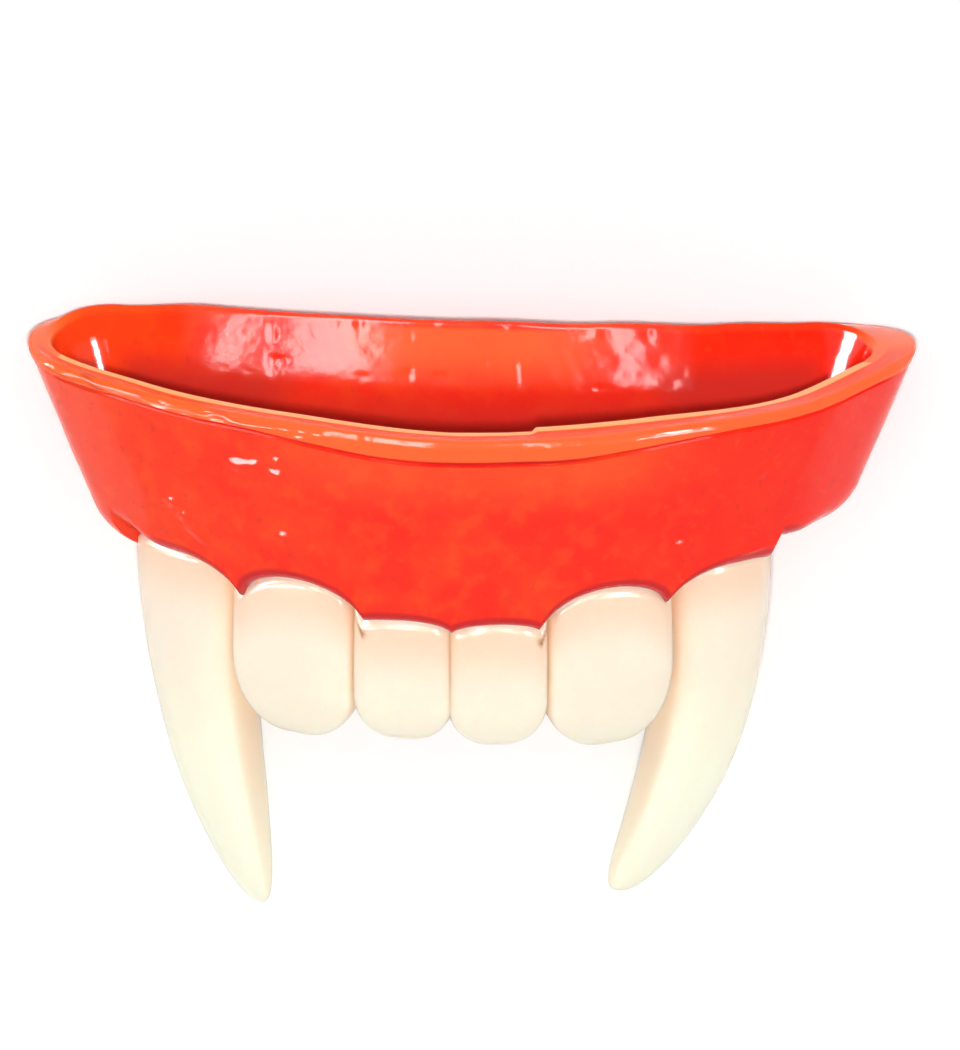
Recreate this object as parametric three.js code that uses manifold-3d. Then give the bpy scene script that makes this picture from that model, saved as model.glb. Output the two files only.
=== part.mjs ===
// A vampire fang denture for the upper jaw: a soft rubber gum trough, open at the top, whose lower front edge
// carries four front teeth and two long curved fangs.
//
// Millimetres. Every piece is drawn as the denture is worn: +X to the right as seen from in front, +Y towards the
// throat, +Z up to the trough's open rim, with the front of the rim's middle at the origin. A depth is measured
// down from the rim. Last of all the whole denture is laid on its back, as it rests on a table: +Z is up from the
// table, +Y is the way the trough opens, and the origin lies on the table below the middle.
import * as THREE from "three";
import { mergeVertices } from "three/addons/utils/BufferGeometryUtils.js";
import Module from "manifold-3d";

// The trough's outside
const troughLength = 64.2; // from end to end, at the rim
const middleWidth = 18.6; // front to back at the middle of the rim
const endWidth = 11.4; // front to back where the round ends begin
const archRadius = 52; // of the trough's middle line, seen from above
const frontLean = 1.5; // degrees that the front wall leans inwards on its way down
const endLean = 28; // degrees, of the two ends
const backLean = 15; // degrees, of the back wall
const lipRadius = 0.8; // where the front wall turns under, over the teeth
const cornerRadius = 2.8; // where the other walls turn under

// The trough's walls and pocket
const frontWall = 2;
const backWall = 1.8;
const leftEndWall = 1.7;
const rightEndWall = 3.4;
const pocketDepth = 9.5; // from the rim down to the pocket's flat floor
const pocketFillet = 1.8; // between that floor and the walls
const bedHeight = 6.3; // from that floor down to the gum between the two middle teeth
const gumHeight = pocketDepth + bedHeight;
const rimRound = 0.45; // the softened edges of the rim
const rimWave = 1; // how far the cut rim strays from level
const trimDepth = 1.7; // from the rim down to the moulding's trim line on the front wall
const trimStep = 0.3; // how far the wall steps in below that line
const trimEnd = 60; // degrees round each end, where that step has died away
const lipEnd = 0.85; // share of the way along where the lip's radius starts to grow into the corner's

// The teeth
const toothGap = 0.3; // between neighbours, and between a tooth and its socket
const lipOverhang = 0.85; // from the gum's front back to the face of the teeth
const rootCover = 1; // rubber between the pocket's floor and the sockets
const midlineShift = -1.4; // the middle of the teeth lies a little left of the trough's
const centreWidth = 6.3;
const centreThickness = 5;
const centreReach = 9.8; // each reach is from the gum between the two middle teeth down to the tooth's end
const sideWidth = 9.3;
const sideThickness = 6;
const sideReach = 10.7;
const fangWidth = 8;
const fangThickness = 6.6;
const fangReach = 27;

// How the denture lies on a table: on the back of its rim and the tips of its fangs
const restTilt = 14; // degrees between the table and the denture's upright

// Each kind of tooth. crest is where it is widest, as a share of its length, and edge its thickness at the very
// end, as a share of its own. From the crest to the end its outline is a superellipse of the power endFullness,
// and from the crest up to the root a squarer one, of the power rootFullness.
const kinds = {
  centre: { width: centreWidth, thickness: centreThickness, reach: centreReach, crest: 0.78, edge: 0.5 },
  side: { width: sideWidth, thickness: sideThickness, reach: sideReach, crest: 0.6, edge: 0.5 },
  fang: { width: fangWidth, thickness: fangThickness, reach: fangReach, crest: 0.12, edge: 0.8 },
};
const endFullness = 2;
const rootFullness = 5;

// One row for each tooth, from the middle outwards. over is the gum's edge above the tooth's middle, and inner
// and outer the gum's edge beside it, as shares of bedHeight. long is a share of the kind's reach. stray is how
// far the tip strays towards the middle, as a share of the tooth's length, and bend the power that it sets in by.
const leftRow = [
  { name: "centre_tooth_left", kind: "centre", over: 0.86, inner: 1, outer: 0.91, long: 1, stray: 0, bend: 1 },
  { name: "side_tooth_left", kind: "side", over: 0.47, inner: 0.91, outer: 0.85, long: 1, stray: 0, bend: 1 },
  { name: "fang_left", kind: "fang", over: 0.45, inner: 0.85, outer: 0.6, long: 1, stray: 0.13, bend: 1.8 },
];
const rightRow = [
  { name: "centre_tooth_right", kind: "centre", over: 0.89, inner: 1, outer: 1, long: 1.03, stray: 0, bend: 1 },
  { name: "side_tooth_right", kind: "side", over: 0.52, inner: 1, outer: 0.85, long: 1.04, stray: 0, bend: 1 },
  { name: "fang_right", kind: "fang", over: 0.5, inner: 0.85, outer: 0.6, long: 0.96, stray: 0.18, bend: 2.8 },
];

// The underside of the trough's two ends, as shares of bedHeight
const leftEndEdge = 0.72;
const rightEndEdge = 0.5;

// The cut rim's height as shares of rimWave, at places along the trough as shares of its half length.
const rimRows = [
  { along: -1, front: 0.2, back: 0.55 },
  { along: -0.75, front: 0.5, back: 1.1 },
  { along: -0.4, front: 0.6, back: 1.05 },
  { along: 0, front: 0, back: 0.85 },
  { along: 0.4, front: 0, back: 0.4 },
  { along: 0.75, front: -0.5, back: -0.2 },
  { along: 1, front: 0, back: -0.5 },
];

// How finely the faceted solids are cut
const wallStations = 58;
const endStations = 10;
const arcSteps = 4;
const toothSides = 20;
const toothRings = 12;
const toothSquareness = 2.3; // a superellipse power, for a tooth's cross-section

const gumColour = 0xf5402c;
const toothColour = 0xfdf0dc;

const wasm = await Module();
wasm.setup();

const { lerp, degToRad, clamp, smoothstep } = THREE.MathUtils;
const slope = (degrees) => Math.tan(degToRad(degrees));
const superellipse = (place, power) => (1 - Math.abs(place) ** power) ** (1 / power);
const squareOff = (value, power) => Math.sign(value) * Math.abs(value) ** (2 / power);
const quarterTurn = Array.from({ length: arcSteps + 1 }, (_, i) => (i * Math.PI) / 2 / arcSteps);

// A closed surface from profiles that each run down its outside, set anticlockwise as seen from above. Points
// that meet are welded, and triangles that the welding leaves flat are dropped.
function closedSurface(profiles) {
  const count = profiles[0].length;
  const geometry = new THREE.BufferGeometry().setFromPoints(profiles.flat());
  const faces = profiles.flatMap((_, i) => profiles[0].slice(1).flatMap((__, j) => {
    const here = i * count + j;
    const next = ((i + 1) % profiles.length) * count + j;
    return [here, here + 1, next + 1, here, next + 1, next];
  }));
  geometry.setIndex(faces);
  const welded = mergeVertices(geometry);
  const corners = welded.index.array;
  const kept = [];
  for (let i = 0; i < corners.length; i += 3) {
    const [a, b, c] = corners.slice(i, i + 3);
    if (a !== b && b !== c && c !== a) kept.push(a, b, c);
  }
  welded.setIndex(kept);
  return welded;
}

function solidFrom(geometry) {
  const vertProperties = new Float32Array(geometry.attributes.position.array);
  const triVerts = new Uint32Array(geometry.index.array);
  return new wasm.Manifold(new wasm.Mesh({ numProp: 3, vertProperties, triVerts }));
}

function geometryFrom(solid) {
  const { vertProperties, triVerts } = solid.getMesh();
  const geometry = new THREE.BufferGeometry();
  geometry.setAttribute("position", new THREE.BufferAttribute(vertProperties, 3));
  geometry.setIndex(new THREE.BufferAttribute(triVerts, 1));
  return geometry;
}

// The outward front direction of the arch at an angle from its middle, and a point on the arch, or forward of it
const frontward = (angle) => new THREE.Vector3(Math.sin(angle), -Math.cos(angle), 0);
const archPoint = (angle, forward) =>
  new THREE.Vector3(0, middleWidth / 2 + archRadius, 0).addScaledVector(frontward(angle), archRadius + forward);

// The trough has two shells, its outside and the pocket, which stands in from the outside by the walls. At a
// depth a shell's faces stand in from the rim's outline by front, back and end, and its middle line ends at
// halfAngle, where its round end begins.
const outside = { front: 0, back: 0, left: 0, right: 0 };
const pocket = { front: frontWall, back: backWall, left: leftEndWall, right: rightEndWall };

function shellAt(shell, side, depth) {
  const front = shell.front + depth * slope(frontLean);
  const back = shell.back + depth * slope(backLean);
  const end = (side < 0 ? shell.left : shell.right) + depth * slope(endLean);
  const halfLength = archRadius * Math.asin((troughLength - endWidth) / 2 / archRadius);
  return { front, back, halfAngle: (halfLength - end + (front + back) / 2) / archRadius };
}

const rimOutlineWidth = (along) => lerp(middleWidth, endWidth, along ** 2);

// The rim's rise at a station, eased from row to row along the trough and from its front round to its back.
function rimRise({ along, turn }) {
  const next = Math.max(1, rimRows.findIndex((row) => row.along >= along));
  const [before, after] = [rimRows[next - 1], rimRows[next]];
  const share = smoothstep(along, before.along, after.along);
  const front = lerp(before.front, after.front, share);
  const back = lerp(before.back, after.back, share);
  return rimWave * lerp(front, back, smoothstep(turn, 0, 180));
}

// A station is a place round the trough: along runs from -1 at the left end of the middle line to 1 at its right
// end, and turn from 0 degrees at the front through 90 at an end to 180 at the back. Its point at a depth lies on
// a shell, moved in by inset, or at a share of the way out from the middle line. taper is the angle by which the
// narrowing walls face towards the end, so that they run smoothly into it.
function pointAt({ along, turn }, depth, shell, inset, share = 1) {
  const side = along < 0 ? -1 : 1;
  const { front, back, halfAngle } = shellAt(shell, side, depth);
  const angle = along * halfAngle;
  const reach = (rimOutlineWidth(along) - front - back) / 2 - inset;
  const rise = rimRise({ along, turn }) * clamp(1 - depth / pocketDepth, 0, 1);
  const taper = Math.asin(((middleWidth - endWidth) * Math.abs(along)) / archRadius / halfAngle);
  const way = lerp(taper, Math.PI - taper, turn / 180);
  return archPoint(angle, (back - front) / 2)
    .addScaledVector(frontward(angle + side * way), reach * share)
    .setZ(rise - depth);
}

// The gum's front face at an angle round the arch, at the depth where the teeth come out, and its outward
// direction there, square to the line between two near points of the face.
const up = new THREE.Vector3(0, 0, 1);

function frontFace(angle) {
  const { front, halfAngle } = shellAt(outside, Math.sign(angle), gumHeight);
  return archPoint(angle, rimOutlineWidth(angle / halfAngle) / 2 - front);
}

function facing(angle) {
  const near = degToRad(0.5);
  return frontFace(angle + near).sub(frontFace(angle - near)).normalize().applyAxisAngle(up, -Math.PI / 2);
}

// A tooth's middle in plan, when it stands behind the gum's front face at an angle round the arch
const seatAt = (thickness, angle) =>
  frontFace(angle).addScaledVector(facing(angle), -lipOverhang - thickness / 2);

// Each row of teeth is set outwards from the midline, each tooth against its neighbour. from, middle and to are
// how far right its stretch of gum begins, has its middle and ends, as seen from in front.
const midline = midlineShift / archRadius;

function setTeeth(rows, side) {
  const placed = [];
  for (const row of rows) {
    const tooth = { ...row, ...kinds[row.kind], side };
    const before = placed.at(-1) ?? { angle: midline, width: -toothGap, thickness: tooth.thickness };
    const neighbour = seatAt(before.thickness, before.angle);
    const apart = (before.width + tooth.width) / 2 + toothGap;
    let [near, far] = [0, 1];
    while (far - near > 1e-7) {
      const step = (near + far) / 2;
      if (seatAt(tooth.thickness, before.angle + side * step).distanceTo(neighbour) < apart) near = step;
      else far = step;
    }
    tooth.angle = before.angle + side * near;
    tooth.middle = seatAt(tooth.thickness, tooth.angle).x;
    tooth.from = lerp(neighbour.x, tooth.middle, Math.max(0, before.width / (before.width + tooth.width)));
    tooth.to = 2 * tooth.middle - tooth.from;
    before.to = tooth.from;
    placed.push(tooth);
  }
  return placed;
}
const teeth = [...setTeeth(leftRow, -1), ...setTeeth(rightRow, 1)];

// The depth of the underside at the trough's left or right end
const endDepth = (along) => pocketDepth + bedHeight * (along < 0 ? leftEndEdge : rightEndEdge);

// The depth of the gum's lower front edge: an arch over each tooth, with a point between two teeth.
function gumEdge(station) {
  const { x } = pointAt(station, gumHeight, outside, 0);
  const tooth = teeth.find(({ from, to }) => x >= Math.min(from, to) && x <= Math.max(from, to));
  if (!tooth) return endDepth(station.along);
  const inwards = Math.abs(x - tooth.from) < Math.abs(tooth.middle - tooth.from);
  const across = (x - tooth.middle) / ((inwards ? tooth.from : tooth.to) - tooth.middle);
  const beside = inwards ? tooth.inner : tooth.outer;
  return pocketDepth + bedHeight * lerp(beside, tooth.over, superellipse(clamp(across, 0, 1), 2));
}

// The trough's half section at a station, from the middle of the pocket's floor up its inside, over the rim, down
// the outside and in along the underside to the middle again.
function gumSection(station) {
  const { along, turn } = station;
  const middleDepth = lerp(gumHeight, endDepth(along), along ** 4);
  const bottom = turn === 0 ? gumEdge(station) : middleDepth;
  const step = trimStep * (1 - smoothstep(turn, 0, trimEnd));
  const round = lerp(lipRadius, cornerRadius, turn === 0 ? smoothstep(Math.abs(along), lipEnd, 1) : 1);
  return [
    pointAt(station, pocketDepth, pocket, 0, 0),
    ...quarterTurn.map((a) =>
      pointAt(station, pocketDepth - pocketFillet * (1 - Math.cos(a)), pocket, pocketFillet * (1 - Math.sin(a)))),
    pointAt(station, rimRound, pocket, 0),
    pointAt(station, 0, pocket, -rimRound),
    pointAt(station, 0, outside, rimRound),
    pointAt(station, rimRound, outside, 0),
    pointAt(station, trimDepth - step, outside, 0),
    pointAt(station, trimDepth, outside, step),
    pointAt(station, (trimDepth + bottom - round) / 2, outside, step),
    ...quarterTurn.map((a) =>
      pointAt(station, bottom - round * (1 - Math.sin(a)), outside, step + round * (1 - Math.cos(a)))),
    pointAt(station, (bottom + middleDepth) / 2, outside, step + round, 0.5),
    pointAt(station, middleDepth, outside, 0, 0),
  ];
}

function gumStations() {
  const wall = Array.from({ length: wallStations }, (_, i) => (2 * i) / wallStations - 1);
  const round = Array.from({ length: endStations }, (_, i) => (180 * i) / endStations);
  return [
    ...wall.map((along) => ({ along, turn: 0 })),
    ...round.map((turn) => ({ along: 1, turn })),
    ...wall.map((along) => ({ along: -along, turn: 180 })),
    ...round.map((turn) => ({ along: -1, turn: 180 - turn })),
  ];
}

// A tooth is a lobe of superellipse rings square to its own bent axis, from its buried top to its end. sweep is
// how far its end lies behind its root, as a share of its length. grow is added all round, for its socket.
function toothSurface(tooth, sweep, grow) {
  const root = pocketDepth + rootCover + toothGap;
  const length = gumHeight + tooth.reach * tooth.long - root;
  const seat = seatAt(tooth.thickness, tooth.angle);
  const labial = facing(tooth.angle);
  const inward = labial.clone().applyAxisAngle(up, (-tooth.side * Math.PI) / 2);
  const axis = (share) => seat.clone()
    .addScaledVector(inward, length * tooth.stray * share ** tooth.bend)
    .addScaledVector(labial, -length * sweep * share ** 2)
    .setZ(-root - length * share);
  const nextShare = 0.001; // a short step along the axis, to read its direction
  const profile = (turn) => Array.from({ length: toothRings + 1 }, (_, i) => {
    const place = -Math.cos((i * Math.PI) / toothRings);
    const share = place < 0 ? tooth.crest * (1 + place) : lerp(tooth.crest, 1, place);
    const down = axis(share + nextShare).sub(axis(share)).normalize();
    const across = new THREE.Vector3().crossVectors(labial, down).normalize();
    const front = new THREE.Vector3().crossVectors(down, across);
    const breadth = superellipse(place, place < 0 ? rootFullness : endFullness);
    const half = tooth.thickness / 2;
    const slim = lerp(1, tooth.edge, share);
    return axis(share)
      .addScaledVector(down, grow * Math.min(0, place))
      .addScaledVector(across, (tooth.width / 2 + grow) * breadth * squareOff(Math.sin(turn), toothSquareness))
      .addScaledVector(front, (half * slim + grow) * breadth * squareOff(Math.cos(turn), toothSquareness))
      .addScaledVector(front, half * (1 - slim) * breadth);
  });
  const turns = Array.from({ length: toothSides }, (_, i) => (i * 2 * Math.PI) / toothSides);
  return closedSurface(turns.map(profile));
}

// How high a surface's lowest point lies once the denture is laid on its back
const layBack = degToRad(restTilt - 90);

function lowest(geometry) {
  const laid = geometry.clone().rotateX(layBack);
  laid.computeBoundingBox();
  return laid.boundingBox.min.z;
}

// The sweep that brings a fang's lowest point down to the table that the trough's back lies on
function sweepTo(tooth, table) {
  let [forward, backward] = [-1, 1];
  while (backward - forward > 1e-6) {
    const sweep = (forward + backward) / 2;
    if (lowest(toothSurface(tooth, sweep, 0)) > table) forward = sweep;
    else backward = sweep;
  }
  return forward;
}

const trough = closedSurface(gumStations().map(gumSection));
const table = lowest(trough);
for (const tooth of teeth) tooth.sweep = tooth.kind === "fang" ? sweepTo(tooth, table) : 0;

// The gum: the trough with a socket cut for each tooth, wider than the tooth by the gap
function gum() {
  const sockets = teeth.map((tooth) => solidFrom(toothSurface(tooth, tooth.sweep, toothGap)));
  const solid = sockets.reduce((rest, socket) => rest.subtract(socket), solidFrom(trough));
  const material = new THREE.MeshStandardMaterial({ color: gumColour, roughness: 0.35, metalness: 0 });
  const mesh = new THREE.Mesh(geometryFrom(solid), material);
  mesh.name = "gum";
  return mesh;
}

function toothMesh(tooth) {
  const material = new THREE.MeshStandardMaterial({ color: toothColour, roughness: 0.3, metalness: 0 });
  const mesh = new THREE.Mesh(toothSurface(tooth, tooth.sweep, 0), material);
  mesh.name = tooth.name;
  return mesh;
}

const denture = new THREE.Group();
denture.add(gum(), ...teeth.map(toothMesh));
denture.rotation.x = layBack;
denture.updateMatrixWorld(true);
const box = new THREE.Box3().setFromObject(denture, true);
const middle = box.getCenter(new THREE.Vector3());
denture.position.set(-middle.x, -middle.y, -box.min.z);

export default denture;
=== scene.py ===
"""The looks of a vampire fang denture: a glossy rubber gum trough with four front teeth and two curved fangs.

Lengths in the formulas are millimetres, in the frame of the denture as it is worn: +X to the right as seen from
in front, +Y towards the throat, +Z up to the trough's open rim, with the front of the rim's middle at the origin.
laid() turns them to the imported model's frame, in metres, where the denture lies on its back.
"""

import math
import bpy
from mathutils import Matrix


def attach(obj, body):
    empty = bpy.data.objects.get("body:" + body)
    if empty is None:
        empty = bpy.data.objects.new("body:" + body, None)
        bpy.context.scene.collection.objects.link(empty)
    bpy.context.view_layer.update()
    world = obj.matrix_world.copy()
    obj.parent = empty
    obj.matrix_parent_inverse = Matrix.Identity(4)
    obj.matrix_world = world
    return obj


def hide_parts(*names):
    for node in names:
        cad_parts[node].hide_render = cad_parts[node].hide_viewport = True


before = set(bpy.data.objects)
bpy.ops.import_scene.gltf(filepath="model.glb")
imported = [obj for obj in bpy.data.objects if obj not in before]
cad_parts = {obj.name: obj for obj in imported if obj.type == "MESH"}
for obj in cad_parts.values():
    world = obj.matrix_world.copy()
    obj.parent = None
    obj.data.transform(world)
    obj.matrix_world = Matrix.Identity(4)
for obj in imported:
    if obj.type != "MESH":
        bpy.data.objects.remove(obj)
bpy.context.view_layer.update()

from types import SimpleNamespace

import bpy
import numpy as np
from mathutils import Matrix, Vector

bl_info = {
    "name": "Vampire fang denture",
    "version": (1, 0, 0),
    "blender": (4, 5, 0),
    "location": "View3D > Sidebar > Denture",
    "description": "Builds a slip-on denture of soft rubber with long curved fangs",
    "category": "Add Mesh",
}

MM = 0.001

# The trough's leans, in degrees, and its rounded edges, in millimetres
FRONT_LEAN, END_LEAN, BACK_LEAN = 1.5, 28, 15
LIP_RADIUS, CORNER_RADIUS, POCKET_FILLET = 0.8, 2.8, 1.8
LIP_END = 0.85

# How the worn denture is turned and moved to lie on the table: its tilt in degrees, and the move in millimetres
REST_TILT = 14
LAID_AT = np.array([0, 16.48621968, 21.56660569])

# The cut rim's height at places along the trough, at its front and at its back
RIM_ALONG = (-1, -0.75, -0.4, 0, 0.4, 0.75, 1)
RIM_FRONT = (0.2, 0.5, 0.6, 0, 0, -0.5, 0)
RIM_BACK = (0.55, 1.1, 1.05, 0.85, 0.4, -0.2, -0.5)

# The rim: the radius of its inner bead, the outer edge's radius in front and behind, and its channel's depth
BEAD_RADIUS, EDGE_RADIUS, BACK_EDGE_RADIUS, CHANNEL_DEPTH = 0.3, 0.6, 0.4, 0.2

# The small step in the rim's inner edge: its height, how far right it starts, its half run, and where it dies away
STEP_HEIGHT, STEP_AT, STEP_RUN, STEP_FADE = 0.32, 4.4, 0.15, (8, 24)

# At the back, how far the rim's inner edge is raised and how far its outer edge is cut away
BACK_RAISED, BACK_FALL = 0.25, 0.6

# The flare of the pocket's back wall: how deep it starts, its slope, how softly, and where along it dies away
FLARE_DEPTH, FLARE_SLOPE, FLARE_SOFTNESS, FLARED = 4.4, 0.14, 0.3, (17.5, 25)

# The trim line: its depth at the middle and beside it, its waves, the step under it, and where it dies away
TRIM_MIDDLE, TRIM_BESIDE, TRIM_WAVES, TRIM_STEP, TRIM_END = 1.65, 0.8, 0.07, 0.3, 60

# The ledge under the trim line starts a little above it, and the front wall begins where the ledge ends
LEDGE_LEAD, LEDGE_HEIGHT, WALL_START = 0.08, 0.55, 0.47

# The underside of the trough's left and right end, as shares of the bed's height: at the end itself, and where
# the round lobe starts beside the fang
END_EDGES = {-1: 0.72, 1: 0.46}
LOBE_STARTS = {-1: 0.52, 1: 0.3}

# How far each lobe's start lies over its fang, and how far it takes to reach the end's own depth
LOBE_OVER = {-1: 0, 1: 0.6}
LOBE_REACH = 3.2

# The gum's skin: the stations along each wall and round each end, and the rows of each stretch of its profile
WALL_STATIONS, END_STATIONS = 226, 36
FLOOR, FILLET, INNER_WALL, INNER_EDGE, TOP, OUTER_EDGE, BAND, LEDGE, WALL, LIP, UNDER = range(11)
ROWS = (7, 8, 34, 7, 12, 7, 10, 9, 68, 9, 8)
BEAD_ROWS = 4

# Ripples of the skin: the height, size and seed of each
RIPPLES = ((0.03, 2.7, 1), (0.012, 0.9, 2))

# How far left and right the pocket's glossy middle fades to its matt sides, and each end's own glossy corner:
# how far out and how deep it starts
CENTRAL_LEFT, CENTRAL_RIGHT = (19.8, 21.5), (14.5, 16.5)
SHINY_LEFT, SHINY_RIGHT = ((26.3, 26.6), (1.2, 1.6)), ((25.4, 25.9), (0.3, 0.5))

# The pocket's pits and pebbles: depth or heights, size, and how far right they grow to their full depth
PIT_DEPTH, PIT_SIZE, PIT_LEVEL, PITTED = 0.09, 0.9, 0.42, (-17, -14.5)
PEBBLE_HEIGHTS, PEBBLE_SIZE, PEBBLED, PEBBLED_END = (0.003, 0.014), 0.9, (4, 8), (24.5, 25.2)

# Blisters and long streaks along the rim's band: height, size, and where along it they are rough
BLISTER_HEIGHT, BLISTER_SIZE, BLISTER_LEVEL, ROUGH_FROM, ROUGH_TO = 0.1, 0.62, 0.15, (-21, -18), (-8.5, -6)
STREAK_HEIGHT, STREAK_SIZE, STREAK_STRETCH, STREAKED = 0.1, 0.62, (0.28, 0.6, 1.6), (10, 16)

# Pimples on the front: how far right, depth, half width, half height, and how far each stands out
PIMPLES = (
    (-16.7, 3.6, 1.1, 0.65, 0.2), (-15.5, 3.4, 0.65, 0.65, 0.18), (-13.8, 3.85, 1.1, 0.6, 0.19),
    (-13.9, 2.85, 0.65, 0.55, 0.15), (-21.5, 8.0, 0.6, 0.6, 0.17), (-20.6, 8.9, 0.6, 0.6, 0.17),
    (-19.9, 9.8, 0.7, 0.6, 0.16), (-19.3, 10.4, 0.6, 0.55, 0.15), (-16.8, 10.1, 0.5, 0.5, 0.12),
    (-13.4, 8.9, 0.9, 0.6, 0.16), (14.85, 9.85, 1.0, 0.6, 0.18), (-5.8, 6.6, 0.5, 0.5, 0.12),
    (-2.0, 5.6, 0.5, 0.5, 0.12), (20.6, 5.3, 0.5, 0.5, 0.12), (17.5, 4.4, 0.6, 0.5, 0.12),
    (20.1, 11.6, 1.6, 0.5, 0.16),
)

# Each tooth: its side and kind; the gum's edge over its middle, its inner and its outer side, as shares of the
# bed's height; its length as a share of its kind's; how far its tip strays inwards, as a share of its length, and
# the power of that bend; and how much more its outer side reaches, and the power that rounds that side
TOOTH_ROWS = (
    ("centre_tooth_left", -1, "centre", 0.86, 1, 0.91, 1, 0, 1, 0, 2),
    ("side_tooth_left", -1, "side", 0.47, 0.91, 0.85, 1, 0, 1, 0, 2),
    ("fang_left", -1, "fang", 0.47, 0.85, 0.5, 1, 0.13, 1.8, 0, 2),
    ("centre_tooth_right", 1, "centre", 0.89, 1, 1, 1.03, 0, 1, 0, 2),
    ("side_tooth_right", 1, "side", 0.52, 1, 0.85, 1.03, 0, 1, 0, 2),
    ("fang_right", 1, "fang", 0.5, 0.85, 0.6, 0.96, 0.18, 2.8, -0.5, 2.7),
)
ROW_WORDS = ("name", "side", "kind", "over", "inner", "outer", "long", "stray", "bend", "outer_more",
             "outer_full")

# Each kind of tooth: where its inner and its outer side start to turn in to the end, its thickness at the very
# end as a share of its own, the power that squares its section off, and how far each side reaches to the next
KINDS = {
    "centre": (0.77, 0.71, 0.5, 3.2, 0.45, 0.45),
    "side": (0.71, 0.55, 0.5, 3.0, 0.45, -0.2),
    "fang": (0.12, 0.12, 0.8, 2.5, 0.7, 0.1),
}
KIND_WORDS = ("inner_crest", "outer_crest", "edge", "squareness", "inner_reach", "outer_reach")
END_FULLNESS, ROOT_FULLNESS = 2.0, 5

# A tooth's rings and the sides of each
TOOTH_MESH = (88, 96)

# A tooth's shoulder under the gum's edge: its depth and height; and how far its face stands out below it
SHOULDER_DEPTH, SHOULDER_HEIGHT, PROUD = 0.55, 0.5, 0.4

# The brown pits at the seams beside the centre teeth: the middle seam, how far from it and from the trough's
# middle those seams can be, how far below the gum's edge the pits lie, and their half width and half height
MIDDLE_SEAM, PIT_SEAMS, PIT_BELOW, PIT_WIDTH, PIT_HEIGHT = -0.9, (4, 9), 1.0, 0.28, 0.3


def mix(a, b, share):
    """a at share 0, b at share 1, and in a straight line between them."""
    return a + (b - a) * share


def smoothstep(value, low, high):
    """0 below low, 1 above high, and an eased cubic between them."""
    share = np.clip((value - low) / (high - low), 0, 1)
    return share * share * (3 - 2 * share)


def slope(degrees):
    return math.tan(math.radians(degrees))


def superellipse(place, power):
    """How wide a superellipse is at a place from -1 to 1 of its height: the power-th root of 1 - |place|^power."""
    return np.clip(1 - np.abs(place) ** power, 0, None) ** (1 / power)


def square_off(value, power):
    """A sine or cosine raised to 2 / power with its sign kept, which squares a round section off."""
    return np.sign(value) * np.abs(value) ** (2 / power)


def lattice(corner, seed):
    """One steady number from -1 to 1 for each whole-numbered corner of space, from a mix of its coordinates."""
    corner = corner.astype(np.int64)
    mixed = (corner[..., 0] * 374761393 + corner[..., 1] * 668265263 + corner[..., 2] * 2147483647
             + seed * 974634777)
    mixed = (mixed ^ (mixed >> 13)) * 1274126177 & 0x7FFFFFFF
    mixed = (mixed ^ (mixed >> 16)) & 0xFFFF
    return mixed / 0x7FFF - 1


def noise(points, size, seed):
    """Value noise: the lattice's numbers at the corners round each point, blended by eased shares. size in mm."""
    scaled = points / size
    base = np.floor(scaled)
    share = scaled - base
    share = share * share * (3 - 2 * share)
    total = 0
    for corner in np.ndindex(2, 2, 2):
        weight = np.prod(np.where(corner, share, 1 - share), axis=-1)
        total = total + weight * lattice(base + corner, seed)
    return total


def sizes():
    """The denture's sizes in millimetres, from the properties."""
    gum, teeth = bpy.context.scene.denture_gum, bpy.context.scene.denture_teeth
    held = SimpleNamespace(**{key: getattr(gum, key) / MM for key in gum.bl_rna.properties.keys()
                              if key in GUM_LENGTHS})
    for key in TEETH_LENGTHS:
        setattr(held, key, getattr(teeth, key) / MM)
    held.gum_height = held.pocket_depth + held.bed_height
    return held


def frontward(angle):
    """The outward front direction of the arch at an angle from its middle."""
    return np.stack([np.sin(angle), -np.cos(angle), np.zeros_like(angle)], axis=-1)


def arch_point(t, angle, forward):
    """A point on the trough's middle line, seen from above, or forward of it: an arc round a centre behind it."""
    centre = np.array([0, t.middle_width / 2 + t.arch_radius, 0])
    return centre + frontward(angle) * np.asarray(t.arch_radius + forward)[..., None]


def shell_at(t, inner, side, depth):
    """How far a shell's front and back stand in from the rim's outline at a depth, and its half angle.

    inner is 0 on the outside and 1 on the pocket's wall, which stands in by the wall's thickness.
    """
    front = inner * t.front_wall + depth * slope(FRONT_LEAN)
    back = inner * t.back_wall + depth * slope(BACK_LEAN)
    end = inner * np.where(side < 0, t.left_end_wall, t.right_end_wall) + depth * slope(END_LEAN)
    half_length = t.arch_radius * math.asin((t.trough_length - t.end_width) / 2 / t.arch_radius)
    return front, back, (half_length - end + (front + back) / 2) / t.arch_radius


def rim_width(t, along):
    return mix(t.middle_width, t.end_width, along ** 2)


def rim_rise(along, turn):
    """The cut rim's height, eased from one place along the trough to the next and from its front to its back."""
    spots = np.array(RIM_ALONG, float)
    after = np.clip(np.searchsorted(spots, along), 1, len(spots) - 1)
    share = smoothstep(along, spots[after - 1], spots[after])
    front = mix(np.take(RIM_FRONT, after - 1), np.take(RIM_FRONT, after), share)
    back = mix(np.take(RIM_BACK, after - 1), np.take(RIM_BACK, after), share)
    return mix(front, back, smoothstep(turn, 0, 180))


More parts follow.
